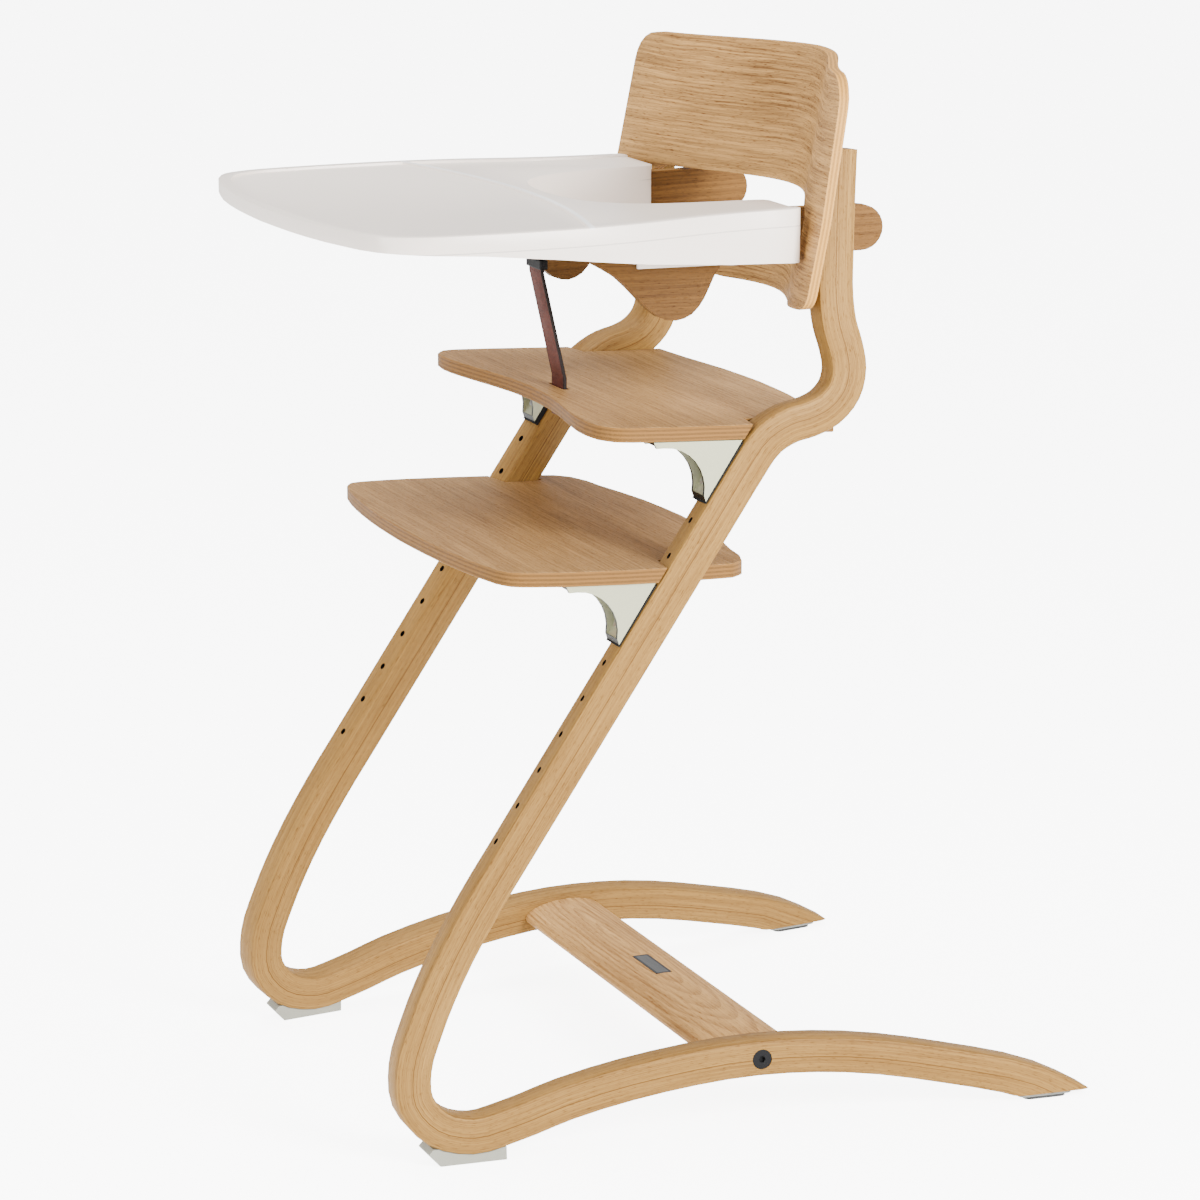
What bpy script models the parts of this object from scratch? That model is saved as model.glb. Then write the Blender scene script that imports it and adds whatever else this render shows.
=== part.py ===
"""Baby high chair: two splayed frames of bent, laminated wood carry a seat, a footrest, a backrest and a tray.

Units are metres, +Z is up and the sitter faces -Y. The origin lies on the floor, at the middle of the chair's
bounding box, and the chair is symmetric about the plane X = 0. Lengths are written in millimetres times MM.
"""
import math

import bmesh
import bpy
from mathutils import Matrix, Vector
from mathutils.geometry import interpolate_bezier

MM = 0.001
GAP = 0.3 * MM            # clearance between touching pieces
SIDES = {"left": 1, "right": -1}   # the sitter's left is +X

# Frame bars. A frame is drawn flat, in (y, z), and then turned about its own leg line, which splays the feet.
ORIGIN_Y = 236.0 * MM     # from the front glides' front edge to the middle of the chair
BAR_WIDTH = 28.0 * MM     # across the lamination, side to side
BAR_DEPTH = 29.0 * MM     # through the lamination
BAR_ROUND = 3.5 * MM
LEG_X = 172.3 * MM        # centre of each leg's front face
LEG_Y = 58.6 * MM         # lowest adjustment hole, on the leg's front face
LEG_Z = 248.4 * MM
LEG_ANGLE = math.radians(55.67)
SPLAY = math.radians(7.13)
HOLE_PITCH = 32.0 * MM
HOLE_COUNT = 12
HOLE_RADIUS = 2.5 * MM
HOLE_DEPTH = 20.0 * MM
FOOT_CUT_Z = 5.0 * MM     # the rear tips are cut level at this height

# Backrest shell
BACK_TOP_Z = 824.0 * MM
BACK_BOTTOM_Z = 632.0 * MM
BACK_HALF_WIDTH = 196.0 * MM
BACK_THICKNESS = 8.5 * MM
BACK_WING_Y = 346.0 * MM  # rear face of the wings at the top edge
BACK_DISH = 65.0 * MM     # how far the middle lies behind the wings
BACK_RECLINE = 0.175      # forward travel per unit of drop
SLOT_LOW_Z = 677.5 * MM
SLOT_HIGH_Z = 716.0 * MM
SLOT_HALF_WIDTH = 146.0 * MM

# Plates and their brackets, measured from each bracket's screw on the leg's front face
PLATE_THICKNESS = 11.5 * MM
PLATE_TOP = 48.15 * MM
PLATE_SLOPE = -0.05
PLATE_ROUND = 1.5 * MM
BRACKET_WIDTH = 24.0 * MM
BRACKET_WALL = 3.0 * MM
BRACKET_SEAT = 3.0 * MM   # height of the bracket's back face over the leg
SEAT_HOLE = 10
FOOTREST_HOLE = 6

# Safety bar
RAIL_LOW_Z = 678.5 * MM
RAIL_HIGH_Z = 714.5 * MM
RAIL_THICKNESS = 10.0 * MM
RAIL_FRONT_Y = 158.0 * MM

# Tray
TRAY_TOP_Z = 722.0 * MM
TRAY_WALL = 2.6 * MM

# Crossbar
CROSSBAR_Y = 266.5 * MM
CROSSBAR_Z = 56.5 * MM
CROSSBAR_HALF_DEPTH = 36.0 * MM
CROSSBAR_HALF_HEIGHT = 12.5 * MM
BOLT_RADIUS = 4.0 * MM
BOLT_HEAD_RADIUS = 7.8 * MM
BOLT_HEAD_HEIGHT = 5.0 * MM
BOLT_LENGTH = 62.0 * MM

CENTRELINE = [(y * MM, z * MM) for y, z in (
    (556, -21), (500, 10.3), (424, 33.4), (340, 51.4), (265, 57.2), (185, 52), (108, 38.5), (62, 25.5),
    (31, 20.2), (3, 29), (-14, 50), (-15, 77), (-5, 108), (13, 148), (43, 199.5), (73.4, 244.3),
)]
S_BEND = [(y * MM, z * MM) for y, z in (
    (283, 547), (301, 556.5), (316, 560), (332, 567), (344, 580), (348.3, 597), (346, 613),
    (341, 631), (338.6, 651), (339.3, 688), (341, 726), (343.4, 765.5),
)]

LEG_DIRECTION = Vector((0.0, math.cos(LEG_ANGLE), math.sin(LEG_ANGLE)))
LEG_NORMAL = Vector((0.0, -math.sin(LEG_ANGLE), math.cos(LEG_ANGLE)))

FINISHES = {
    "frame_wood": ((0.70, 0.52, 0.33), 0.5, 0.0),
    "plate_wood": ((0.58, 0.42, 0.27), 0.5, 0.0),
    "back_wood": ((0.56, 0.39, 0.22), 0.5, 0.0),
    "rail_wood": ((0.42, 0.26, 0.12), 0.5, 0.0),
    "crossbar_wood": ((0.66, 0.47, 0.28), 0.5, 0.0),
    "cast_aluminium": ((0.72, 0.73, 0.68), 0.38, 1.0),
    "black_rubber": ((0.02, 0.02, 0.02), 0.7, 0.0),
    "black_steel": ((0.03, 0.03, 0.03), 0.4, 0.8),
    "zinc_steel": ((0.62, 0.62, 0.60), 0.35, 1.0),
    "badge_metal": ((0.45, 0.45, 0.44), 0.4, 0.9),
    "tray_plastic": ((0.82, 0.79, 0.75), 0.35, 0.0),
    "glide_plastic": ((0.62, 0.66, 0.60), 0.4, 0.0),
    "black_felt": ((0.03, 0.03, 0.03), 0.95, 0.0),
    "strap_leather": ((0.16, 0.06, 0.04), 0.5, 0.0),
}


def clear_scene():
    for item in list(bpy.data.objects):
        bpy.data.objects.remove(item, do_unlink=True)


def new_collection(name):
    group = bpy.data.collections.new(name)
    bpy.context.scene.collection.children.link(group)
    return group


def new_material(name):
    colour, roughness, metallic = FINISHES[name]
    material = bpy.data.materials.new(name)
    material.use_nodes = True
    shader = material.node_tree.nodes["Principled BSDF"]
    shader.inputs["Base Color"].default_value = (*colour, 1.0)
    shader.inputs["Roughness"].default_value = roughness
    shader.inputs["Metallic"].default_value = metallic
    return material


clear_scene()
CHAIR = new_collection("high_chair")
CUTTERS = new_collection("cutters")
MATERIALS = {name: new_material(name) for name in FINISHES}


def new_carrier(name, location, parent=None):
    """An empty that holds the pieces of one moving group, on its joint's line."""
    carrier = bpy.data.objects.new(name, None)
    carrier.empty_display_size = 0.05
    CHAIR.objects.link(carrier)
    carrier.parent = parent
    carrier.location = location
    return carrier


def as_part(item, finish, parent):
    """Names an object's finish and parent, and moves it to the chair's collection."""
    for group in list(item.users_collection):
        group.objects.unlink(item)
    CHAIR.objects.link(item)
    item.parent = parent
    item.data.materials.clear()
    item.data.materials.append(MATERIALS[finish])
    return item


def as_cutter(item, parent):
    item.parent = parent
    item.hide_render = True
    item.display_type = "WIRE"
    return item


def mesh_object(name, bm):
    mesh = bpy.data.meshes.new(name)
    bm.to_mesh(mesh)
    bm.free()
    item = bpy.data.objects.new(name, mesh)
    CUTTERS.objects.link(item)
    return item


def block(name, size, centre=(0, 0, 0), turn=Matrix()):
    """A box of the given size, turned and then placed."""
    bm = bmesh.new()
    bmesh.ops.create_cube(bm, size=1.0)
    bmesh.ops.scale(bm, vec=Vector(size), verts=bm.verts)
    item = mesh_object(name, bm)
    item.matrix_world = Matrix.Translation(centre) @ turn
    return item


def along(direction):
    """The turn that takes +Z to a direction."""
    return Vector((0, 0, 1)).rotation_difference(Vector(direction)).to_matrix().to_4x4()


def rod(name, radius, length, start, direction, sides=16, tip_radius=None):
    """A cylinder or cone that starts at a point and runs along a direction."""
    bm = bmesh.new()
    bmesh.ops.create_cone(bm, cap_ends=True, segments=sides, radius1=radius,
                          radius2=radius if tip_radius is None else tip_radius, depth=length)
    bmesh.ops.translate(bm, vec=(0, 0, length / 2), verts=bm.verts)
    item = mesh_object(name, bm)
    item.matrix_world = Matrix.Translation(start) @ along(direction)
    return item


def curve_to_mesh(curve_item):
    """Turns a curve object into a welded mesh object of the same name and place."""
    name = curve_item.name
    bpy.context.view_layer.update()
    evaluated = curve_item.evaluated_get(bpy.context.evaluated_depsgraph_get())
    mesh = bpy.data.meshes.new_from_object(evaluated)
    bm = bmesh.new()
    bm.from_mesh(mesh)
    bmesh.ops.remove_doubles(bm, verts=bm.verts, dist=0.00001)
    bmesh.ops.recalc_face_normals(bm, faces=bm.faces)
    bm.to_mesh(mesh)
    bm.free()
    item = bpy.data.objects.new(name, mesh)
    item.matrix_world = curve_item.matrix_world.copy()
    CUTTERS.objects.link(item)
    bpy.data.objects.remove(curve_item, do_unlink=True)
    item.name = name
    return item


def outline_solid(name, points, low, high, upright):
    """A closed outline made solid between two heights. An upright outline is in (y, z) and runs along X;
    a flat one is in (x, y) and runs along Z."""
    curve = bpy.data.curves.new(name, "CURVE")
    curve.dimensions = "2D"
    curve.fill_mode = "BOTH"
    curve.extrude = (high - low) / 2
    spline = curve.splines.new("POLY")
    spline.points.add(len(points) - 1)
    for point, (a, b) in zip(spline.points, points):
        point.co = (a, b, 0, 1)
    spline.use_cyclic_u = True
    item = bpy.data.objects.new(name, curve)
    CUTTERS.objects.link(item)
    middle = (high + low) / 2
    if upright:
        item.matrix_world = Matrix(((0, 0, 1, middle), (1, 0, 0, 0), (0, 1, 0, 0), (0, 0, 0, 1)))
    else:
        item.matrix_world = Matrix.Translation((0, 0, middle))
    return curve_to_mesh(item)


def rounded(corners, steps=4):
    """A closed outline from (a, b, radius) corners, each turned by an arc of its radius."""
    points = []
    count = len(corners)
    for i, (a, b, radius) in enumerate(corners):
        here = Vector((a, b))
        before = Vector(corners[i - 1][:2]) - here
        after = Vector(corners[(i + 1) % count][:2]) - here
        if radius <= 0:
            points.append(tuple(here))
            continue
        half = before.angle(after) / 2
        reach = radius / math.tan(half)
        middle = here + (before.normalized() + after.normalized()).normalized() * radius / math.sin(half)
        first = here + before.normalized() * reach - middle
        last = here + after.normalized() * reach - middle
        swing = first.angle_signed(last)
        for k in range(steps + 1):
            turn = Matrix.Rotation(-swing * k / steps, 2)
            points.append(tuple(middle + turn @ first))
    return points


def smooth_line(points, steps):
    """A smooth open line through the points, with `steps` spans between neighbours."""
    knots = [Vector(p) for p in points]
    spans = [b - a for a, b in zip(knots, knots[1:])]
    slopes = [spans[0].normalized()]
    for a, b in zip(spans, spans[1:]):
        slopes.append((a.normalized() * b.length + b.normalized() * a.length) / (a.length + b.length))
    slopes.append(spans[-1].normalized())
    line = []
    for i, span in enumerate(spans):
        reach = span.length / 3
        line += interpolate_bezier(knots[i], knots[i] + slopes[i] * reach,
                                   knots[i + 1] - slopes[i + 1] * reach, knots[i + 1], steps + 1)[:-1]
    return [tuple(p) for p in line + [knots[-1]]]


def mirrored(half):
    """A closed outline from its half at x >= 0, listed from the front middle to the rear middle."""
    other = [(-x, y) for x, y in reversed(half) if x > 1e-6]
    return half + other


def inset(points, distance):
    """The outline moved inwards by a distance, for an outline that runs anticlockwise."""
    moved = []
    count = len(points)
    for i in range(count):
        here = Vector(points[i])
        before = (here - Vector(points[i - 1])).normalized()
        after = (Vector(points[(i + 1) % count]) - here).normalized()
        inward = Vector((-before.y, before.x)) + Vector((-after.y, after.x))
        stretch = max(inward.length / 2, 0.5)
        moved.append(tuple(here + inward.normalized() * distance / stretch))
    return moved


def combine(target, other, operation="DIFFERENCE"):
    modifier = target.modifiers.new(operation.lower(), "BOOLEAN")
    modifier.operation = operation
    modifier.solver = "EXACT"
    modifier.object = other
    return target


def round_edges(item, width, segments=2, angle=50):
    modifier = item.modifiers.new("round", "BEVEL")
    modifier.width = width
    modifier.segments = segments
    modifier.limit_method = "ANGLE"
    modifier.angle_limit = math.radians(angle)
    return item


def smooth(item, angle=35):
    """Shades a round piece smooth, apart from its sharp edges."""
    item.data.shade_smooth()
    item.data.set_sharp_from_angle(angle=math.radians(angle))
    return item


def frame_turn(side):
    """Where a flat frame's own origin, the lowest hole, lies on the chair, and how it is turned."""
    turn = Matrix.Rotation(-side * SPLAY, 4, LEG_DIRECTION)
    return Matrix.Translation((side * LEG_X, LEG_Y, LEG_Z)) @ turn


def on_frame(side, y, z, outwards=0.0):
    """The place of a flat frame's point (y, z), at a distance outwards from the bar's middle."""
    return frame_turn(side) @ Vector((side * outwards, y - LEG_Y, z - LEG_Z))


def outward(side):
    return (frame_turn(side).to_3x3() @ Vector((side, 0, 0))).normalized()


def on_leg(steps_up, over=0.0):
    """A point on the leg line, in (y, z): a number of hole pitches up, and a height over its front face."""
    point = LEG_DIRECTION * (steps_up * HOLE_PITCH) + LEG_NORMAL * over
    return LEG_Y + point.y, LEG_Z + point.z


def back_y(x, z):
    """The rear face of the backrest shell."""
    dish = BACK_DISH * (1 + math.cos(math.pi * x / (BACK_HALF_WIDTH + 4 * MM))) / 2
    return BACK_WING_Y + dish - (BACK_TOP_Z - z) * BACK_RECLINE


def dished(name, front, rear):
    """A band that follows the backrest, between two distances ahead of the shell's rear face."""
    reach = BACK_HALF_WIDTH + 3 * MM
    line = [(x, back_y(x, BACK_TOP_Z)) for x in (reach * (k / 16 - 1) for k in range(33))]
    ahead = []
    for (x, y), (left, right) in zip(line, zip(line[:1] + line[:-1], line[1:] + line[-1:])):
        way = (Vector(right) - Vector(left)).normalized()
        ahead.append(Vector((x, y)) + Vector((way.y, -way.x)) * front)
    outline = [(x, y - rear) for x, y in line] + [tuple(p) for p in reversed(ahead)]
    band = outline_solid(name, outline, -0.23, 0.05, False)
    band.data.transform(band.matrix_world)
    band.matrix_world = Matrix()
    band.data.transform(Matrix(((1, 0, 0, 0), (0, 1, BACK_RECLINE, 0), (0, 0, 1, BACK_TOP_Z), (0, 0, 0, 1))))
    return band


# ---------------------------------------------------------------- frames
def frame_path():
    """The bar's centreline from the rear tip to the post's top, relative to the lowest hole."""
    foot, leg_low, leg_high, leg_top = (on_leg(step, -BAR_DEPTH / 2) for step in (0.6, 1.4, 10.0, 10.7))
    line = smooth_line(CENTRELINE + [foot, leg_low], 3) + smooth_line([leg_high, leg_top] + S_BEND, 3)
    return [(y - LEG_Y, z - LEG_Z) for y, z in line]


def bar_section():
    """The bar's rounded rectangle, as a curve that the centreline carries along."""
    wide, deep = BAR_DEPTH / 2, BAR_WIDTH / 2
    corners = [(-wide, -deep, BAR_ROUND), (wide, -deep, BAR_ROUND),
               (wide, deep, BAR_ROUND), (-wide, deep, BAR_ROUND)]
    curve = bpy.data.curves.new("bar_section", "CURVE")
    curve.dimensions = "2D"
    outline = rounded(corners, steps=2)
    spline = curve.splines.new("POLY")
    spline.points.add(len(outline) - 1)
    for point, (a, b) in zip(spline.points, outline):
        point.co = (a, b, 0, 1)
    spline.use_cyclic_u = True
    item = bpy.data.objects.new("bar_section", curve)
    CUTTERS.objects.link(item)
    item.hide_render = True
    return item


def bent_bar(name, section):
    """One laminated bar, swept along the flat centreline in its own YZ plane."""
    curve = bpy.data.curves.new(name, "CURVE")
    curve.dimensions = "2D"
    curve.bevel_mode = "OBJECT"
    curve.bevel_object = section
    curve.use_fill_caps = True
    line = frame_path()
    spline = curve.splines.new("POLY")
    spline.points.add(len(line) - 1)
    for point, (a, b) in zip(spline.points, line):
        point.co = (a, b, 0, 1)
    item = bpy.data.objects.new(name, curve)
    CUTTERS.objects.link(item)
    bar = curve_to_mesh(item)
    bar.data.transform(Matrix(((0, 0, 1, 0), (1, 0, 0, 0), (0, 1, 0, 0), (0, 0, 0, 1))))
    return bar


def frame_cutters(side, stand):
    """The level cut at the rear tip, the adjustment holes, the bolt's hole and the backrest's seat."""
    cutters = [block(f"cut_tip_{side}", (0.2, 0.2, 0.1), (side * 0.24, 0.53, FOOT_CUT_Z - 0.05))]
    turn = frame_turn(side)
    for step in range(HOLE_COUNT):
        centre = turn @ (LEG_DIRECTION * step * HOLE_PITCH - LEG_NORMAL * HOLE_DEPTH)
        normal = turn.to_3x3() @ LEG_NORMAL
        cutters.append(rod(f"cut_hole_{side}_{step}", HOLE_RADIUS, HOLE_DEPTH + 10 * MM, centre, normal, 10))
    head = on_frame(side, CROSSBAR_Y, CROSSBAR_Z, BAR_WIDTH / 2 - BOLT_HEAD_HEIGHT - GAP)
    cutters.append(rod(f"cut_bolt_head_{side}", BOLT_HEAD_RADIUS + GAP, 0.02, head, outward(side), 20))
    inner = on_frame(side, CROSSBAR_Y, CROSSBAR_Z, -BAR_WIDTH)
    cutters.append(rod(f"cut_bolt_{side}", BOLT_RADIUS + GAP, 0.04, inner, outward(side), 16))
    return [as_cutter(item, stand) for item in cutters]


def make_frames(stand):
    section = bar_section()
    seat = as_cutter(dished("cut_back_seat", 0.09, -GAP), stand)
    for name, side in SIDES.items():
        bar = bent_bar(f"frame_{name}", section)
        smooth(bar)
        bar.matrix_world = frame_turn(side)
        as_part(bar, "frame_wood", stand)
        for cutter in frame_cutters(side, stand) + [seat]:
            combine(bar, cutter)
    bpy.data.objects.remove(section, do_unlink=True)


# ---------------------------------------------------------------- crossbar and its fasteners
def make_crossbar(stand):
    oval = [(CROSSBAR_Y + CROSSBAR_HALF_DEPTH * math.cos(a), CROSSBAR_Z + CROSSBAR_HALF_HEIGHT * math.sin(a))
            for a in (2 * math.pi * k / 28 for k in range(28))]
    bar = outline_solid("crossbar", oval, -0.215, 0.215, True)
    smooth(bar)
    as_part(bar, "crossbar_wood", stand)
    for name, side in SIDES.items():
        face = on_frame(side, CROSSBAR_Y, CROSSBAR_Z, -BAR_WIDTH / 2 - GAP)
        away = frame_turn(side).to_3x3().to_4x4()
        end = block(f"cut_end_{name}", (0.1, 0.2, 0.2), face + outward(side) * 0.05, away)
        start = on_frame(side, CROSSBAR_Y, CROSSBAR_Z, -BAR_WIDTH / 2 - 50 * MM)
        bore = rod(f"cut_bore_{name}", BOLT_RADIUS + GAP, 0.06, start, outward(side), 16)
        nut = nut_place(side)
        cross = rod(f"cut_cross_{name}", 5.4 * MM, 0.04, nut - Vector((0, 0, 0.031)), (0, 0, 1), 16)
        for cutter in (end, bore, cross):
            combine(bar, as_cutter(cutter, stand))
        make_bolt(name, side, stand)
        make_nut(name, side, stand)
    make_badge(bar, stand)


def nut_place(side):
    return on_frame(side, CROSSBAR_Y, CROSSBAR_Z, -BAR_WIDTH / 2 - 38 * MM)


def make_bolt(name, side, stand):
    """A socket-head bolt: a turned head with a six-sided socket, and its shank."""
    face = on_frame(side, CROSSBAR_Y, CROSSBAR_Z, BAR_WIDTH / 2 - 0.4 * MM)
    inwards = -outward(side)
    bolt = rod(f"crossbar_bolt_{name}", BOLT_HEAD_RADIUS, BOLT_HEAD_HEIGHT - 0.8 * MM, face, inwards, 20)
    shank = rod(f"shank_{name}", BOLT_RADIUS, BOLT_LENGTH, face + inwards * 0.001, inwards, 16)
    socket = rod(f"cut_socket_{name}", 2.9 * MM, 0.006, face - inwards * 0.003, inwards, 6)
    combine(bolt, as_cutter(shank, stand), "UNION")
    combine(bolt, as_cutter(socket, stand))
    as_part(smooth(bolt), "black_steel", stand)


def make_nut(name, side, stand):
    """The cross dowel that the bolt screws into."""
    nut = rod(f"crossbar_nut_{name}", 5.0 * MM, 16 * MM, nut_place(side) - Vector((0, 0, 8 * MM)), (0, 0, 1), 16)
    face = on_frame(side, CROSSBAR_Y, CROSSBAR_Z, 0)
    bore = rod(f"cut_thread_{name}", BOLT_RADIUS + 0.2 * MM, 0.1, face, -outward(side), 16)
    combine(nut, as_cutter(bore, stand))
    as_part(smooth(nut), "zinc_steel", stand)


def make_badge(bar, stand):
    """A plain plate let into the crossbar's top."""
    long, wide = 50 * MM, 14 * MM
    top = CROSSBAR_Z + CROSSBAR_HALF_HEIGHT
    pocket = block("cut_badge", (long + 2 * GAP, wide + 2 * GAP, 6 * MM), (0, CROSSBAR_Y, top + 1.6 * MM))
    combine(bar, as_cutter(pocket, stand))
    corners = [(-long / 2, -wide / 2, 2 * MM), (long / 2, -wide / 2, 2 * MM),
               (long / 2, wide / 2, 2 * MM), (-long / 2, wide / 2, 2 * MM)]
    plate = outline_solid("badge_plate", rounded(corners, 2), top - 1.1 * MM, top - 0.1 * MM, False)
    plate.location.y = CROSSBAR_Y
    as_part(plate, "badge_metal", stand)


# ---------------------------------------------------------------- glides
def make_glides(stand):
    """Under each front bend, a wedge that leans with its frame and takes the bar's shape on top."""
    for name, side in SIDES.items():
        bar = bpy.data.objects[f"frame_{name}"]
        corners = [(2 * MM, 0, 2 * MM), (55 * MM, 0, 0), (55 * MM, 11.5 * MM, 0), (-3 * MM, 14 * MM, 0),
                   (-7 * MM, 10 * MM, 1 * MM)]
        half = 11.5 * MM
        wedge = outline_solid(f"front_glide_{name}", rounded(corners, 2), -half, half, True)
        wedge.data.transform(wedge.matrix_world)
        wedge.matrix_world = Matrix()
        middle = on_frame(side, 0, 0)
        by_y, by_z = on_frame(side, 1, 0).x - middle.x, on_frame(side, 0, 1).x - middle.x
        wedge.data.transform(Matrix(((1, by_y, by_z, middle.x), (0, 1, 0, 0), (0, 0, 1, 0), (0, 0, 0, 1))))
        above = bar.copy()
        above.name = f"cut_glide_{name}"
        above.modifiers.clear()
        above.location.z += GAP
        below = bar.copy()
        below.name = f"cut_glide_gap_{name}"
        below.modifiers.clear()
        below.location.z -= GAP
        as_part(wedge, "glide_plastic", stand)
        for cutter in (above, below):
            CUTTERS.objects.link(cutter)
            combine(wedge, as_cutter(cutter, stand))
        make_rear_glide(name, side, stand)


def make_rear_glide(name, side, stand):
    front, tip = on_frame(side, 488 * MM, 2 * MM), on_frame(side, 530 * MM, 2 * MM)
    middle = (front + tip) / 2
    heading = math.atan2(tip.x - front.x, front.y - tip.y)
    for part, finish, low, high, wide, long in (
            ("glide", "glide_plastic", 2.3 * MM, FOOT_CUT_Z - GAP, 22 * MM, 46 * MM),
            ("felt", "black_felt", 0.0, 2.0 * MM, 21 * MM, 36 * MM)):
        corners = [(-wide / 2, -long / 2, 5 * MM), (wide / 2, -long / 2, 5 * MM),
                   (wide / 2, long / 2, 5 * MM), (-wide / 2, long / 2, 5 * MM)]
        pad = outline_solid(f"rear_{part}_{name}", rounded(corners, 3), low, high, False)
        pad.matrix_world = Matrix.Translation((middle.x, middle.y, 0)) @ Matrix.Rotation(heading, 4, "Z") @ (
            pad.matrix_world)
        as_part(pad, finish, stand)


# ---------------------------------------------------------------- backrest
def make_backrest(stand):
    """A dished shell, trimmed to a rounded outline with a wide slot."""
    shell = dished("backrest", BACK_THICKNESS, 0)
    half = BACK_HALF_WIDTH
    trim = outline_solid("trim_back", rounded([
        (-half + 4 * MM, BACK_BOTTOM_Z + 14 * MM, 14 * MM), (-0.06, BACK_BOTTOM_Z, 60 * MM),
        (0.06, BACK_BOTTOM_Z, 60 * MM), (half - 4 * MM, BACK_BOTTOM_Z + 14 * MM, 14 * MM),
        (half, BACK_BOTTOM_Z + 0.08, 80 * MM), (half - 6 * MM, BACK_TOP_Z - 1.5 * MM, 26 * MM),
        (0, BACK_TOP_Z + 1 * MM, 0), (-half + 6 * MM, BACK_TOP_Z - 1.5 * MM, 26 * MM),
        (-half, BACK_BOTTOM_Z + 0.08, 80 * MM)], 5), -0.6, 0.6, False)
    trim.data.transform(Matrix.Rotation(math.radians(90), 4, "X"))
    trim.matrix_world = Matrix()
    combine(shell, as_cutter(trim, stand), "INTERSECT")
    slot_half = SLOT_HALF_WIDTH
    slot = outline_solid("cut_back_slot", rounded([
        (-slot_half, SLOT_LOW_Z, 12 * MM), (slot_half, SLOT_LOW_Z, 12 * MM),
        (slot_half, SLOT_HIGH_Z, 12 * MM), (-slot_half, SLOT_HIGH_Z, 12 * MM)], 4), -0.6, 0.6, False)
    slot.data.transform(Matrix.Rotation(math.radians(90), 4, "X"))
    slot.matrix_world = Matrix()
    combine(shell, as_cutter(slot, stand))
    as_part(smooth(shell, 30), "back_wood", stand)
    return shell


def make_back_screws(shell, stand):
    """Two screws a side come through the post from behind and end inside the shell."""
    lean = Vector((0, -1, -BACK_RECLINE)).normalized()
    for name, side in SIDES.items():
        bar = bpy.data.objects[f"frame_{name}"]
        for level, z in (("lower", 712 * MM), ("upper", 745 * MM)):
            x = on_frame(side, 0.343, z).x
            tip = Vector((x, back_y(x, z) - 5 * MM, z))
            head = tip - lean * (26 * MM if level == "lower" else 21 * MM)
            screw = rod(f"back_screw_{name}_{level}", 4.5 * MM, 2.5 * MM, head, lean, 12, 2.5 * MM)
            shank = rod(f"back_shank_{name}_{level}", 2.2 * MM, (tip - head).length - 1 * MM,
                        head + lean * MM, lean, 10)
            combine(screw, as_cutter(shank, stand), "UNION")
            as_part(smooth(screw), "zinc_steel", stand)
            sink = rod(f"cut_sink_{name}_{level}", 5.0 * MM, 23 * MM, head - lean * 20 * MM, lean, 12)
            hole = rod(f"cut_screw_{name}_{level}", 2.2 * MM + GAP, 60 * MM, tip + lean * GAP, -lean, 10)
            for cutter in (sink, hole):
                combine(bar, as_cutter(cutter, stand))
            combine(shell, hole)


# ---------------------------------------------------------------- plates and brackets
def leg_point(up, over):
    """A (y, z) on a carrier, from distances along the leg and over its front face."""
    point = LEG_DIRECTION * up + LEG_NORMAL * over
    return point.y, point.z


def plate_z(y):
    return PLATE_TOP + PLATE_SLOPE * y


def clearance_block(label, side, behind, carrier):
    """The space that a leg takes through a plate, from just over its front face to `behind` it."""
    over, inner, outer = 0.8 * MM, BAR_WIDTH / 2 + 1.5 * MM, 60 * MM
    size = (inner + outer, 0.3, over + behind)
    turn = Matrix.Rotation(-side * SPLAY, 4, LEG_DIRECTION) @ Matrix.Rotation(LEG_ANGLE, 4, "X")
    centre = Matrix.Rotation(-side * SPLAY, 3, LEG_DIRECTION) @ (
        Vector((side * (outer - inner) / 2, 0, 0)) + LEG_NORMAL * (over - behind) / 2)
    item = block(f"cut_leg_{label}_{side}", size, Vector((side * LEG_X, 0, 0)) + centre, turn)
    return as_cutter(item, carrier)


def make_plate(name, half_outline, carrier, behind):
    outline = mirrored(half_outline)
    plate = outline_solid(name, outline, -PLATE_THICKNESS, 0, False)
    plate.data.transform(plate.matrix_world)
    plate.matrix_world = Matrix()
    plate.data.transform(Matrix(((1, 0, 0, 0), (0, 1, 0, 0), (0, PLATE_SLOPE, 1, PLATE_TOP), (0, 0, 0, 1))))
    round_edges(plate, PLATE_ROUND, 1)
    as_part(plate, "plate_wood", carrier)
    for side in SIDES.values():
        combine(plate, clearance_block(name, side, behind, carrier))
    return plate


def bracket_outline():
    """The side of a bracket: a straight back and top, and a concave quarter circle."""
    low, high, over = -14.5 * MM, 39.5 * MM, BRACKET_SEAT
    top_rear = leg_point(high, over)
    top = plate_z(top_rear[0]) - PLATE_THICKNESS - GAP
    front_y = -54.3 * MM
    centre, radius = -45.6 * MM, 34 * MM
    points = [leg_point(low, over), (top_rear[0], top),
              (front_y, plate_z(front_y) - PLATE_THICKNESS - GAP), (front_y + 2.5 * MM, radius)]
    for k in range(9):
        angle = math.radians(90 - 100 * k / 8)
        points.append((centre + radius * math.cos(angle), radius * math.sin(angle)))
    return points


def pocket_outline():
    """The hollow between a bracket's cheeks, open towards the concave front."""
    wall = BRACKET_WALL
    low, high = leg_point(-11 * MM, BRACKET_SEAT + wall), leg_point(33 * MM, BRACKET_SEAT + wall)
    web = plate_z(high[0]) - PLATE_THICKNESS - GAP - wall
    front = plate_z(-0.07) - PLATE_THICKNESS - GAP - wall
    return [low, high, (high[0], web), (-0.07, front), (-0.07, low[1])]


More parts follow.
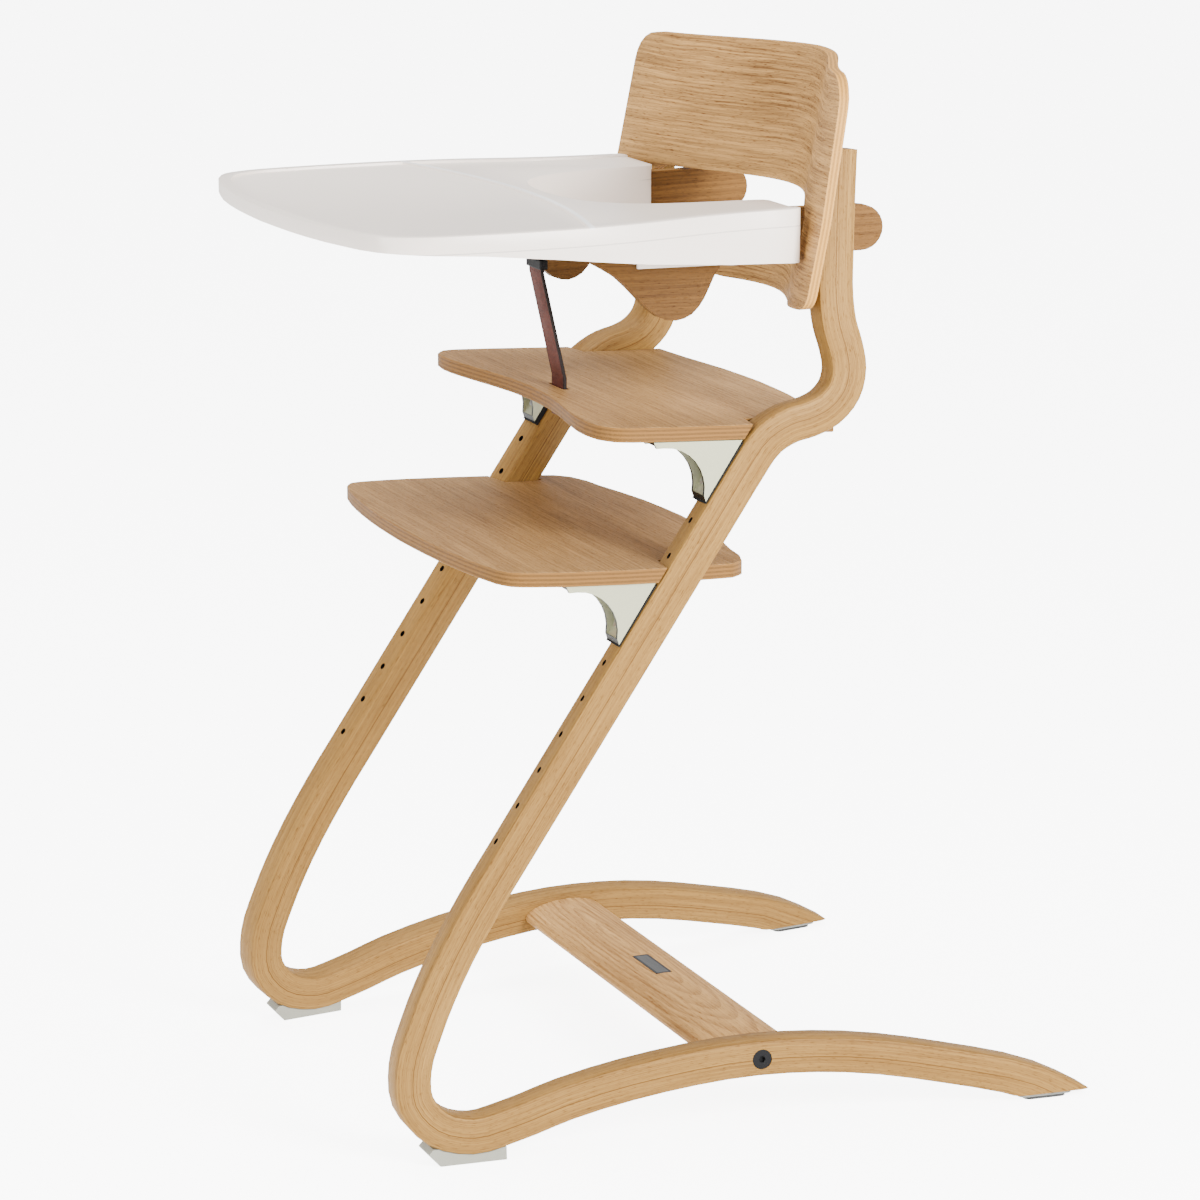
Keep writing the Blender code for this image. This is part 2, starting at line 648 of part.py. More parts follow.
def make_bracket(label, name, side, plate, carrier):
    middle, half = side * LEG_X, BRACKET_WIDTH / 2
    cast = outline_solid(f"{label}_bracket_{name}", bracket_outline(), middle - half, middle + half, True)
    inner = half - BRACKET_WALL
    pocket = outline_solid(f"cut_pocket_{label}_{name}", pocket_outline(), middle - inner, middle + inner, True)
    combine(cast, as_cutter(pocket, carrier))
    as_part(cast, "cast_aluminium", carrier)
    pad = outline_solid(f"{label}_pad_{name}", [
        leg_point(-16 * MM, -6 * MM), leg_point(39 * MM, -6 * MM), leg_point(39 * MM, BRACKET_SEAT - GAP),
        leg_point(-16 * MM, BRACKET_SEAT - GAP)], middle - half, middle + half, True)
    as_part(pad, "black_rubber", carrier)
    turn = Matrix.Rotation(-side * SPLAY, 4, LEG_DIRECTION) @ Matrix.Rotation(LEG_ANGLE, 4, "X")
    drop = Matrix.Rotation(-side * SPLAY, 3, LEG_DIRECTION) @ (LEG_NORMAL * (GAP - 0.02))
    leg = block(f"cut_pad_{label}_{name}", (0.1, 0.3, 0.04), Vector((middle, 0, 0)) + drop, turn)
    combine(pad, as_cutter(leg, carrier))
    make_bracket_screws(label, name, middle, (cast, pad, plate), carrier)


def make_bracket_screws(label, name, middle, pieces, carrier):
    """One screw against the leg, and two up into the plate."""
    cast, pad, plate = pieces
    y, z = leg_point(0, BRACKET_SEAT + BRACKET_WALL)
    seat = Vector((middle, y, z))
    head = seat + LEG_NORMAL * (3 * MM + 0.1 * MM)
    screw = rod(f"{label}_leg_screw_{name}", 4.2 * MM, 3 * MM, head, -LEG_NORMAL, 12)
    shank = rod(f"shank_{label}_leg_{name}", 2.3 * MM, 3 * MM + BRACKET_WALL + 2.2 * MM,
                head - LEG_NORMAL * 0.5 * MM, -LEG_NORMAL, 10)
    combine(screw, as_cutter(shank, carrier), "UNION")
    as_part(smooth(screw), "zinc_steel", carrier)
    hole = rod(f"cut_leg_{label}_{name}", 2.3 * MM + GAP, 30 * MM, seat + LEG_NORMAL * MM, -LEG_NORMAL, 10)
    combine(cast, as_cutter(hole, carrier))
    combine(pad, hole)
    up = Vector((0, -PLATE_SLOPE, 1)).normalized()
    for place, y in (("front", -30 * MM), ("rear", -7 * MM)):
        web = Vector((middle, y, plate_z(y) - PLATE_THICKNESS - GAP - BRACKET_WALL))
        start = web - up * 2.4 * MM
        screw = rod(f"{label}_plate_screw_{name}_{place}", 3.4 * MM, 2.3 * MM, start, up, 12)
        shank = rod(f"shank_{label}_{name}_{place}", 2.0 * MM, 12 * MM, start + up * MM, up, 10)
        combine(screw, as_cutter(shank, carrier), "UNION")
        as_part(smooth(screw), "zinc_steel", carrier)
        hole = rod(f"cut_{label}_{name}_{place}", 2.0 * MM + GAP, 14.4 * MM, start - up * MM, up, 10)
        as_cutter(hole, carrier)
        combine(cast, hole)
        combine(plate, hole)


def seat_outline(origin):
    """Half of the seat's outline: a front edge dished for the legs, and a rear edge bowed out."""
    front = smooth_line([(0, 161), (40, 159), (82, 152), (120, 145), (150, 142.5), (168, 145)], 2)
    corner = smooth_line([(168, 145), (180, 154), (184, 168)], 2)[1:]
    side = [(185, 200), (184, 262), (184, 345)]
    rear = smooth_line([(170, 345.5), (120, 350), (60, 358), (0, 361)], 2)
    return [(x * MM, y * MM - origin) for x, y in front + corner + side + rear]


def footrest_outline(origin):
    """Half of the footrest's outline, bowed out at the front and at the rear."""
    front = smooth_line([(0, 46), (50, 47.5), (100, 51.5), (140, 57), (165, 62.5)], 2)
    corner = smooth_line([(165, 62.5), (177, 70), (182, 86), (186, 120)], 2)[1:]
    side = [(187, 160), (186, 200), (182, 240)]
    rear = smooth_line([(180, 254), (170, 266), (130, 275.5), (65, 288), (0, 292)], 2)
    return [(x * MM, y * MM - origin) for x, y in front + corner + side + rear]


def make_plate_group(label, hole, outline, behind, stand):
    y, z = on_leg(hole)
    carrier = new_carrier(f"{label}_carrier", (0, y, z), stand)
    plate = make_plate(f"{label}_plate", outline(y), carrier, behind)
    for name, side in SIDES.items():
        make_bracket(label, name, side, plate, carrier)
    return carrier, plate


# ---------------------------------------------------------------- safety bar
def rail_path():
    """Half of the hoop seen from above: a flat front, a round corner, and an arm that splays to the rear."""
    front = [(0, 158), (30, 158.3), (58, 160.5)]
    corner = [(81, 168), (96, 184), (103, 206)]
    arm = [(106.8, 231), (112.5, 287), (118.5, 345), (124.8, 409)]
    return [(x * MM, y * MM) for x, y in smooth_line(front + corner + arm, 3)]


def rail_profile():
    """The hoop seen from the side: a level band with a tongue below it and a round rear end."""
    radius = (RAIL_HIGH_Z - RAIL_LOW_Z) / 2
    end_y = 386.5 * MM
    points = [(0.14, RAIL_LOW_Z + 1.5 * MM), (160 * MM, RAIL_LOW_Z + 1.5 * MM)]
    tongue = smooth_line([(173, 676), (190, 665), (207, 647), (221, 634), (235, 630.5), (248, 635),
                          (258, 647), (266, 664), (273, 675)], 2)
    points += [(y * MM, z * MM) for y, z in tongue]
    points.append((282 * MM, RAIL_LOW_Z))
    for k in range(13):
        angle = math.radians(-90 + 180 * k / 12)
        points.append((end_y + radius * math.cos(angle), RAIL_LOW_Z + radius + radius * math.sin(angle)))
    points.append((0.14, RAIL_HIGH_Z))
    return points


def make_safety_bar(stand):
    half = rail_path()
    path = [(-x, y) for x, y in reversed(half[1:])] + half
    low, high = 0.62, 0.73
    bm = bmesh.new()
    rows = [[bm.verts.new((x, y, z)) for x, y in path] for z in (low, high)]
    for i in range(len(path) - 1):
        bm.faces.new((rows[0][i], rows[0][i + 1], rows[1][i + 1], rows[1][i]))
    hoop = mesh_object("safety_bar", bm)
    wall = hoop.modifiers.new("wall", "SOLIDIFY")
    wall.thickness = RAIL_THICKNESS
    wall.offset = 0
    wall.use_even_offset = True
    trim = outline_solid("trim_rail", rail_profile(), -0.2, 0.2, True)
    combine(hoop, as_cutter(trim, stand), "INTERSECT")
    as_part(smooth(hoop, 30), "rail_wood", stand)


def make_strap(stand, seat_carrier, seat_plate):
    """The strap runs from behind the bar's front, through a slot in the seat, to a stud under it."""
    top_y, top_z = RAIL_FRONT_Y + RAIL_THICKNESS / 2 + 0.6 * MM, 706 * MM
    knee_z, seat_y, end_z = 657 * MM, 184 * MM, 540 * MM
    thick, half = 2.6 * MM, 12.5 * MM
    front = [(top_y, top_z), (top_y, knee_z), (seat_y - thick / 2, 572 * MM), (seat_y - thick / 2, end_z)]
    rear = [(y + thick, z) for y, z in reversed(front)]
    strap = outline_solid("strap", front + rear, -half, half, True)
    as_part(strap, "strap_leather", stand)
    clip_y = (top_y + thick / 2) + 0.3 * MM
    clip = block("strap_clip", (30 * MM, 7 * MM, 8 * MM), (0, clip_y, 664 * MM))
    opening = block("cut_clip", (2 * half + 1.5 * MM, 4.4 * MM, 12 * MM), (0, clip_y, 664 * MM))
    round_edges(clip, 1.2 * MM)
    combine(clip, as_cutter(opening, stand))
    as_part(clip, "zinc_steel", stand)
    hole_y, hole_z = on_leg(SEAT_HOLE)
    local = Vector((0, seat_y - hole_y, plate_z(seat_y - hole_y)))
    slot = block("cut_strap_slot", (2 * half + 6 * MM, 6 * MM, 60 * MM), local)
    combine(seat_plate, as_cutter(slot, seat_carrier))
    stud_z = end_z + 3 * MM - hole_z
    stud = rod("strap_stud", 5 * MM, 5 * MM, (0, local.y + thick / 2 + 0.4 * MM, stud_z), (0, 1, 0), 16)
    as_part(smooth(stud), "zinc_steel", seat_carrier)
    foot = block("stud_foot", (6 * MM, 3 * MM, 7 * MM),
                 (0, local.y + thick / 2 + 4 * MM, stud_z + 4.8 * MM))
    combine(stud, as_cutter(foot, seat_carrier), "UNION")


# ---------------------------------------------------------------- tray
def tray_outline():
    """Half of the tray seen from above, from the front middle round the arm to the waist cut-out's middle."""
    front = smooth_line([(0, -64), (60, -61.5), (120, -54), (165, -43)], 2)
    corner = smooth_line([(165, -43), (187, -31), (199, -8), (204, 25)], 3)[1:]
    side = smooth_line([(204, 25), (206, 75), (204, 130), (196, 180), (184, 225), (177, 270), (175, 305)], 2)[1:]
    end = [(173, 311), (168, 314), (112, 314), (107.5, 311), (105.5, 305)]
    waist = smooth_line([(105.5, 305), (100, 250), (93.5, 222), (80, 198), (56, 180), (28, 173), (0, 171)], 2)[1:]
    return [(x * MM, y * MM) for x, y in front + corner + side + end + waist]


def tray_underside():
    """The side view of what lies below the tray: its walls get deeper from the front rim to the arms."""
    line = [(-80, 711), (-30, 710), (40, 706), (100, 700), (180, 690), (250, 683), (330, 679)]
    return [(y * MM, z * MM) for y, z in line] + [(0.33, 0.6), (-0.08, 0.6)]


def make_tray(stand):
    half = tray_outline()
    outline = half + [(-x, y) for x, y in reversed(half) if x > 1e-6]
    tray = outline_solid("tray", outline, 0.67, TRAY_TOP_Z, False)
    round_edges(tray, 1.8 * MM, 2, 60)
    under = outline_solid("cut_tray_under", tray_underside(), -0.3, 0.3, True)
    hollow = outline_solid("cut_tray_hollow", inset(outline, TRAY_WALL), 0.66, TRAY_TOP_Z - TRAY_WALL, False)
    carrier = new_carrier("tray_carrier", (0, 0.15, TRAY_TOP_Z), stand)
    shift = Matrix.Translation((0, -0.15, -TRAY_TOP_Z))
    for item in (tray, under, hollow):
        item.matrix_world = shift @ item.matrix_world
    for side in SIDES.values():
        notch = block(f"cut_tray_notch_{side}", (13 * MM, 20 * MM, 0.1), (side * 115.4 * MM, 0.313, 0.6665))
        notch.matrix_world = shift @ notch.matrix_world
        combine(tray, as_cutter(notch, carrier))
    combine(tray, as_cutter(under, carrier))
    combine(tray, as_cutter(hollow, carrier))
    as_part(smooth(tray, 40), "tray_plastic", carrier)
    make_tray_clips(carrier)


def make_tray_clips(carrier):
    """Under each arm, an angle: its shelf rests on the safety bar and its rib runs down the bar's outside."""
    slope = (124.8 - 106.8) / (409 - 231)
    front_y, rear_y = 203 * MM, 305 * MM
    low, shelf, high = 673.0 * MM, RAIL_HIGH_Z + GAP, TRAY_TOP_Z - TRAY_WALL - GAP

    def strip(name, side, near, far, bottom):
        """A strip of even width beside the bar's middle line, up to the tray's underside."""
        middle = [106.8 * MM + (y - 231 * MM) * slope for y in (front_y, rear_y)]
        corners = [(middle[0] + near, front_y), (middle[0] + far, front_y),
                   (middle[1] + far, rear_y), (middle[1] + near, rear_y)]
        item = outline_solid(name, [(side * x, y) for x, y in corners], bottom, high, False)
        item.matrix_world = Matrix.Translation((0, -0.15, -TRAY_TOP_Z)) @ item.matrix_world
        return item

    edge = RAIL_THICKNESS / 2 + 0.8 * MM
    for name, side in SIDES.items():
        clip = strip(f"tray_clip_{name}", side, edge, edge + 2.6 * MM, low)
        top = strip(f"tray_clip_shelf_{name}", side, -4 * MM, edge + MM, shelf)
        combine(clip, as_cutter(top, carrier), "UNION")
        as_part(clip, "tray_plastic", carrier)


def main():
    stand = new_carrier("chair_origin", (0, -ORIGIN_Y, 0))
    make_frames(stand)
    make_crossbar(stand)
    make_glides(stand)
    shell = make_backrest(stand)
    make_back_screws(shell, stand)
    seat_carrier, seat_plate = make_plate_group("seat", SEAT_HOLE, seat_outline, 0.16, stand)
    make_plate_group("footrest", FOOTREST_HOLE, footrest_outline, BAR_DEPTH + 1.2 * MM, stand)
    make_safety_bar(stand)
    make_strap(stand, seat_carrier, seat_plate)
    make_tray(stand)
    bpy.context.view_layer.update()


main()
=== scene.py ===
# %% [markdown]
# # A baby high chair in bent wood
# Two laminated frames carry a seat, a footrest, a backrest, a safety bar and a tray. The shapes come from the
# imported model. This lesson gives each piece its finish: grain that follows every bend, plies at every edge,
# cast metal, moulded plastic, leather and felt. The sitter faces -Y and the floor is at Z = 0.

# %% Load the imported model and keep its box
import math

import bmesh
import bpy
import numpy as np
from mathutils import Matrix, Vector
from mathutils.geometry import interpolate_bezier


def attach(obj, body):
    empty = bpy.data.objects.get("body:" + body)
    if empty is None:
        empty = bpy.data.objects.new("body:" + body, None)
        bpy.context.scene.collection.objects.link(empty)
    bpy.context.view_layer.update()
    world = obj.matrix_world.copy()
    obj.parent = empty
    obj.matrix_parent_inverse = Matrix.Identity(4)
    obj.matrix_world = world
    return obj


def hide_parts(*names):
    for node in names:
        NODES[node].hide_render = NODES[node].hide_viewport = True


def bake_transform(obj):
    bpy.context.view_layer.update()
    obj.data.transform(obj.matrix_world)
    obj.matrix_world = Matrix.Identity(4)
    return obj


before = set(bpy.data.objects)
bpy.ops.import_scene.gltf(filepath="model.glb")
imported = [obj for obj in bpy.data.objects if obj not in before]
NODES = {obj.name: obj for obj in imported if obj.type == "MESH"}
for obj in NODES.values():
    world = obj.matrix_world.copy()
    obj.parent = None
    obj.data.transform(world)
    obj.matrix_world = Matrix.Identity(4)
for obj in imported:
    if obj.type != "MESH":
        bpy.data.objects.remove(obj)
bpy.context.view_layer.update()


MM = 0.001
CHAIR_MIDDLE = 236 * MM      # lengths along Y are given from the front glides' front edge
SIDES = {"left": 1, "right": -1}

# %% [markdown]
# ## Camera
# The chair is seen from its left front, a little from above, through a long lens, so that the two frames stay
# nearly parallel. A camera looks along its own -Z, so its matrix columns are right, up and minus forward.

# %% Camera
LENS = 125.1
CAMERA_PLACE = Vector((3.01657, -1.07561 - CHAIR_MIDDLE, 1.18051))
CAMERA_FORWARD = Vector((-0.89305, 0.38338, -0.23555))
camera_data = bpy.data.cameras.new("camera")
camera_data.lens = LENS
camera_data.sensor_width = 36
camera = bpy.data.objects.new("camera", camera_data)
bpy.context.collection.objects.link(camera)
forward = CAMERA_FORWARD.normalized()
right = forward.cross(Vector((0, 0, 1))).normalized()
up = right.cross(forward)
camera.matrix_world = Matrix.Translation(CAMERA_PLACE) @ Matrix(
    (right, up, -forward)).transposed().to_4x4()
bpy.context.scene.camera = camera
print("camera height:", round(camera.location.z, 3))

# %% [markdown]
# ## Studio
# A pale floor, a white surround and three large soft lights. Seen straight on, the surround and the floor are
# brighter than the light they give, so the chair stands on plain white.

# %% Floor and lights
SURROUND_GIVES, SURROUND_SHOWS = 0.95, 7.0      # strength as a light, and as the camera sees it
FLOOR_GIVES, FLOOR_SHOWS = 0.7, 7.0
world = bpy.data.worlds.new("studio")
bpy.context.scene.world = world
world.use_nodes = True
surround = world.node_tree.nodes["Background"]
surround.inputs["Color"].default_value = (1, 1, 1, 1)
straight = world.node_tree.nodes.new("ShaderNodeLightPath")
strength = world.node_tree.nodes.new("ShaderNodeMapRange")
strength.inputs["To Min"].default_value, strength.inputs["To Max"].default_value = (
    SURROUND_GIVES, SURROUND_SHOWS)
world.node_tree.links.new(straight.outputs["Is Camera Ray"], strength.inputs["Value"])
world.node_tree.links.new(strength.outputs["Result"], surround.inputs["Strength"])

bpy.ops.object.select_all(action="DESELECT")
bpy.ops.mesh.primitive_plane_add(size=60, location=(0, 0, -0.0004))
floor = bpy.context.object
floor.name = "floor"


def soft_light(name, place, aim, size, power):
    """A square area light at a place, turned to face a point."""
    lamp = bpy.data.lights.new(name, "AREA")
    lamp.size = size
    lamp.energy = power
    item = bpy.data.objects.new(name, lamp)
    bpy.context.collection.objects.link(item)
    item.location = place
    item.rotation_euler = (Vector(aim) - Vector(place)).to_track_quat("-Z", "Y").to_euler()
    return item


soft_light("front_light", (1.1, -3.2, 1.3), (0, 0, 0.45), 1.4, 78)
soft_light("side_light", (1.7, 0.55, 1.15), (0.15, 0.0, 0.76), 0.7, 88)
soft_light("top_light", (-0.8, -0.6, 3.0), (0, 0, 0.4), 1.8, 84)

# %% [markdown]
# ## Shader maths as Python expressions
# A value that changes over a surface is a socket. Wrapped in a small class, it can be added and multiplied
# like a number, and each operation adds its Math node. Every other node comes from one method.


# %% A socket that behaves like a number
class Value:
    """An output socket with arithmetic."""

    def __init__(self, finish, socket):
        self.finish, self.socket = finish, socket

    def math(self, operation, other=None):
        inputs = {0: self}
        if other is not None:
            inputs[1] = other
        return self.finish.node("ShaderNodeMath", {"operation": operation}, inputs)

    def __add__(self, other):
        return self.math("ADD", other)

    def __sub__(self, other):
        return self.math("SUBTRACT", other)

    def __mul__(self, other):
        return self.math("MULTIPLY", other)

    def __truediv__(self, other):
        return self.math("DIVIDE", other)

    def __rsub__(self, other):
        return self.finish.node("ShaderNodeMath", {"operation": "SUBTRACT"}, {0: other, 1: self})

    def __abs__(self):
        return self.math("ABSOLUTE")

    __radd__, __rmul__ = __add__, __mul__

    def above(self, edge, soft):
        """0 below an edge and 1 above it, over a soft width."""
        inputs = {"Value": self, "From Min": edge - soft, "From Max": edge + soft}
        return self.finish.node("ShaderNodeMapRange", {"interpolation_type": "SMOOTHSTEP"}, inputs)

    def line(self, place, width):
        """1 on a thin line, where the value is at a place, and 0 away from it."""
        return 1 - abs(self - place).above(width, width * 0.6)


class Finish:
    """One material, drawn from the inside out."""

    def __init__(self, name):
        self.material = bpy.data.materials.new(name)
        self.material.use_nodes = True
        self.tree = self.material.node_tree
        self.shader = self.tree.nodes["Principled BSDF"]

    def node(self, kind, settings, inputs, output=0):
        """Adds a node, sets it up, joins or fills its sockets, and returns one output."""
        made = self.tree.nodes.new(kind)
        for key, value in settings.items():
            setattr(made, key, value)
        self.fill(made, inputs)
        return Value(self, made.outputs[output])

    def fill(self, made, inputs):
        for key, value in inputs.items():
            if isinstance(value, Value):
                self.tree.links.new(value.socket, made.inputs[key])
            else:
                made.inputs[key].default_value = value

    def axes(self, vector):
        return [self.node("ShaderNodeSeparateXYZ", {}, {0: vector}, k) for k in range(3)]

    def vector(self, x, y, z):
        return self.node("ShaderNodeCombineXYZ", {}, {0: x, 1: y, 2: z})

    def place(self):
        return self.node("ShaderNodeTexCoord", {}, {}, "Object")

    def noise(self, vector, scale=1.0, detail=3.0, rough=0.55):
        inputs = {"Vector": vector, "Scale": scale, "Detail": detail, "Roughness": rough}
        return self.node("ShaderNodeTexNoise", {}, inputs, "Fac")

    def mix(self, amount, first, second):
        """A colour between two colours."""
        first, second = ((c if isinstance(c, Value) else (*c, 1.0)) for c in (first, second))
        return self.node("ShaderNodeMix", {"data_type": "RGBA"}, {0: amount, 6: first, 7: second}, 2)

    def done(self, height=None, depth=0.0002, **sockets):
        """Fills the shader, with an optional bump, and returns the material."""
        if height is not None:
            inputs = {"Height": height, "Distance": depth, "Strength": 1.0}
            sockets["Normal"] = self.node("ShaderNodeBump", {}, inputs)
        self.fill(self.shader, {key.replace("_", " "): value for key, value in sockets.items()})
        return self.material


print("socket helpers ready")

# %% [markdown]
# ## Wood that follows its bends
# Real grain runs along each lamination, round every bend. So each wooden piece carries an attribute, `grain`:
# the distance along the fibres, across them, and down through the layers, in metres. The shader stretches
# noise along the first, and draws glue lines and plies by the third, so they appear on the edges only.


# %% One wood shader for every wooden piece
HOLE_PITCH = 32 * MM
HOLE_SHADE_RADIUS = 2.75 * MM        # a little wider than the hole, so that its wall gets the painted shade too
LAMINA = 1.45 * MM           # one layer of a bent frame


def wood(name, pale, dark, contrast=1.0, plies=None, edge=None, glue_line=None, figure=0.0, wavy=0.0,
         seed=0.0, streaks=1.1, shaded_middle=0.0):
    """Wood from the `grain` attribute. `plies` is (count, thickness) of alternating layers, whose cut edge
    has a colour of its own. `shaded_middle` darkens the middle of the piece's length, in place of the shade
    that the tray would cast there."""
    f = Finish(name)
    grain = f.node("ShaderNodeAttribute", {"attribute_name": "grain"}, {}, "Vector")
    run, across, deep = f.axes(grain)
    along = run + seed
    sway = (f.noise(f.vector(along * 7, across * 9, 0.0), detail=2) - 0.5) * wavy
    across_bent = across + sway
    broad = f.noise(f.vector(along * 3.0, across_bent * 75, deep * 160), detail=3)
    fibres = f.noise(f.vector(along * 9.0, across_bent * 420, deep * 700), detail=4, rough=0.65)
    hairs = f.noise(f.vector(along * 30.0, across_bent * 1500, deep * 2200), detail=2)
    pores = f.noise(f.vector(along * 150, across_bent * 1500, deep * 1500), detail=1).above(0.64, 0.04)
    patches = f.noise(f.vector(along * 5, across * 8, deep * 8), detail=2)
    tone = ((broad - 0.5) * streaks + (fibres - 0.5) * 1.5 + (hairs - 0.5) * 0.7 + (patches - 0.5) * 0.5)
    tone = tone * contrast + pores * 0.35 + 0.42
    if figure:
        ring = (across_bent * across_bent + (deep + along * 0.11 - 0.004) * (deep + along * 0.11 - 0.004))
        ring = ring.math("SQRT") * figure + (patches - 0.5) * 3.5
        tone = tone + (ring.math("FRACT").above(0.62, 0.3) - 0.5) * 0.30
    height = fibres * 0.5 + hairs * 0.35 - pores * 0.5
    if plies:
        count, thickness = plies
        place = (deep / (thickness / count)).math("MAXIMUM", 0.02).math("MINIMUM", count - 0.02)
        inner = (place / 2).math("FRACT").above(0.5, 0.02)
        cut = place.above(0.25, 0.1) * (count - place).above(0.25, 0.1)
        speckle = f.noise(f.vector(along * 900, across * 900, deep * 900), detail=2)
        end_grain = f.mix(inner * (0.55 + (speckle - 0.5) * 0.9), edge, [c * 0.40 for c in edge])
        height = height - inner * 0.6
    if glue_line:
        layer = (deep / LAMINA).math("FLOOR")
        change = f.noise(f.vector(layer * 3.7, along * 2.2, 0.0), detail=1)
        tone = tone + (change - 0.5) * 0.30 + deep.line(glue_line, 0.00035) * 0.75
        seams = (deep / LAMINA).math("FRACT").line(0.5, 0.12)
        tone = tone + seams * 0.13
    colour = f.mix(tone.math("MINIMUM", 1.2).math("MAXIMUM", 0.0), pale, dark)
    if plies:
        colour = f.mix(cut, colour, end_grain)
    if glue_line:
        # Painted shade: near-black over each leg hole and its wall, for the shade that falls inside the hole.
        step = ((run / HOLE_PITCH + 0.5).math("FRACT") - 0.5) * HOLE_PITCH
        hole_shade = 1 - (step * step + across * across).math("SQRT").above(HOLE_SHADE_RADIUS, 0.12 * MM)
        drilled = (run.above(-0.016, 0.001) - run.above(11.5 * HOLE_PITCH, 0.001)) * (1 - deep.above(0.026, 0.001))
        colour = f.mix(hole_shade * drilled, colour, (0.005, 0.004, 0.003))
    if shaded_middle:
        colour = f.mix(shaded_middle * (1 - abs(run).above(0.20, 0.07)), colour, (0.012, 0.004, 0.001))
    rough = 0.50 + (fibres - 0.5) * 0.18 + pores * 0.15
    return f.done(height, 0.00016, Base_Color=colour, Roughness=rough, Specular_IOR_Level=0.12)


FRAME_WOODS = {name: wood(f"frame_wood_{name}", (0.36, 0.20, 0.052), (0.13, 0.057, 0.010), 0.9,
                          glue_line=13.6 * MM, seed=2.3 * side, streaks=0.35) for name, side in SIDES.items()}
PLATE_WOOD = wood("plate_wood", (0.42, 0.242, 0.092), (0.15, 0.072, 0.021), 1.15, plies=(7, 11.5 * MM),
                  edge=(0.22, 0.104, 0.026), streaks=0.6)
BACK_WOOD = wood("back_wood", (0.56, 0.315, 0.105), (0.11, 0.045, 0.011), 1.3, plies=(5, 8.5 * MM),
                 edge=(0.56, 0.275, 0.060), wavy=0.008, streaks=0.5)
# The hoop is of the same oak as the other pieces; its darker colours are painted shade, for the shade under the tray,
# and shaded_middle adds more of it in the middle.
RAIL_WOOD = wood("rail_wood", (0.21, 0.098, 0.022), (0.070, 0.028, 0.006), 1.15, plies=(5, 10 * MM),
                 edge=(0.28, 0.14, 0.04), wavy=0.004, streaks=0.7, shaded_middle=0.35)
BEAM_WOOD = wood("beam_wood", (0.56, 0.32, 0.110), (0.21, 0.092, 0.023), 1.05, figure=230, wavy=0.006,
                 streaks=0.8)
print("woods:", [m.name for m in (*FRAME_WOODS.values(), PLATE_WOOD, BACK_WOOD, RAIL_WOOD, BEAM_WOOD)])

# %% [markdown]
# ## Metal, plastic, rubber, leather and felt
# Cast aluminium is satin with a fine pebbled skin. Moulded plastic has a faint orange-peel texture. Leather has
# cells and creases. Each gets its bump at the scale of the real thing, a few tenths of a millimetre or less.


# %% The other finishes
def textured(name, colour, second, scale, rough, bump, metallic=0.0, detail=3.0, dark_reflection=None, **more):
    """A finish whose colour, roughness and bump vary together at one fine scale. Faces that look forward and down may
    be given a near-black colour, a painted reflection of the dark surroundings that this studio lacks."""
    f = Finish(name)
    place = f.place()
    fine = f.noise(place, scale, detail)
    cloud = f.noise(place, 28.0, 2.0)
    tint = f.mix((fine - 0.5) * 1.2 + (cloud - 0.5) * 0.8 + 0.5, colour, second)
    # Painted reflection: faces that look forward and down turn near-black, as metal that mirrors dark surroundings
    # would.
    if dark_reflection:
        x, y, z = f.axes(f.node("ShaderNodeNewGeometry", {}, {}, "Normal"))
        tint = f.mix((0 - y - z * 1.2).above(0.62, 0.30), tint, dark_reflection)
    return f.done(fine, bump, Base_Color=tint, Roughness=rough + (cloud - 0.5) * 0.14 + (fine - 0.5) * 0.1,
                  Metallic=metallic, **more)


# The near-black colour on the brackets' forward- and down-facing faces is a painted dark reflection.
CAST_METAL = textured("cast_metal", (0.50, 0.50, 0.34), (0.42, 0.42, 0.29), 1500, 0.40, 0.00006, 0.6,
                      dark_reflection=(0.014, 0.015, 0.013), Specular_IOR_Level=0.2)
BLACK_RUBBER = textured("black_rubber", (0.010, 0.010, 0.010), (0.018, 0.018, 0.018), 1800, 0.8, 0.00008,
                        Specular_IOR_Level=0.1)
BLACK_STEEL = textured("black_steel", (0.006, 0.006, 0.0065), (0.012, 0.012, 0.013), 1200, 0.5, 0.00003,
                       Specular_IOR_Level=0.12)
ZINC_STEEL = textured("zinc_steel", (0.62, 0.62, 0.60), (0.52, 0.52, 0.50), 1100, 0.33, 0.00003, 0.95)
GLIDE_PLASTIC = textured("glide_plastic", (0.34, 0.34, 0.28), (0.28, 0.28, 0.23), 1300, 0.42, 0.00004,
                         Subsurface_Weight=0.15, Subsurface_Radius=(0.01, 0.01, 0.01))
PAD_PLASTIC = textured("rear_pad_plastic", (0.30, 0.31, 0.29), (0.25, 0.26, 0.24), 1300, 0.45, 0.00004)
BLACK_FELT = textured("black_felt", (0.012, 0.012, 0.012), (0.05, 0.05, 0.05), 2400, 0.95, 0.0004, detail=5.0,
                      Sheen_Weight=0.3)
print("finishes so far:", len(bpy.data.materials))


# %% Brushed plate with a darker edge
def badge_finish():
    """Grey metal, brushed along X."""
    f = Finish("badge_metal")
    x, y, z = f.axes(f.place())
    brush = f.noise(f.vector(x * 60, y * 4000, z * 200), detail=3)
    rim = abs(x).above(22.5 * MM, 0.3 * MM).math("MAXIMUM", abs(y - 30.5 * MM).above(5.0 * MM, 0.3 * MM))
    tint = f.mix((brush - 0.5) * 1.4 + 0.5, (0.16, 0.163, 0.165), (0.07, 0.072, 0.075))
    tint = f.mix(rim, tint, (0.02, 0.02, 0.022))
    return f.done(brush, 0.00003, Base_Color=tint, Roughness=0.34 + (brush - 0.5) * 0.2, Metallic=0.85)


